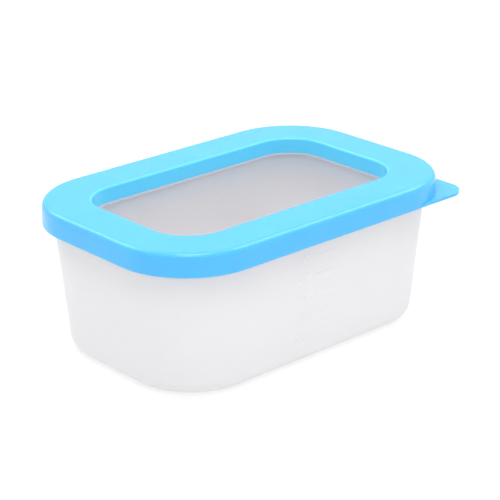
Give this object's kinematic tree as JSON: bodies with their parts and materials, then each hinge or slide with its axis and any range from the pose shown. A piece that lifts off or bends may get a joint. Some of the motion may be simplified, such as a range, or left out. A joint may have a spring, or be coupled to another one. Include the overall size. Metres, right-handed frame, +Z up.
{
  "type": "snap lid food container",
  "caption": "Rounded rectangular food tub in translucent plastic, with a flexible press-fit lid frame, a clear window sunk in the lid and a corner pull tab.",
  "frame": {"origin": "on the floor under the middle of the tub", "axes": "+X along the long side, +Z up; the graduated long wall faces -Y and the pull tab is at the +X, -Y corner"},
  "size_m": [0.192, 0.13, 0.0766],
  "materials": {
    "frosted_tub": "translucent milky white, satin moulded surface",
    "blue_lid": "opaque sky blue, satin, slightly soft",
    "clear_window": "clear, smooth"
  },
  "bodies": {
    "tub": {"tub": "frosted_tub"},
    "lid": {"lid_frame": "blue_lid", "window_panel": "clear_window"}
  },
  "joints": [
    {"name": "lid_lift", "type": "slide", "parent": "tub", "child": "lid", "axis": [0, 0, 1], "range_m": [0, 0.1]}
  ]
}
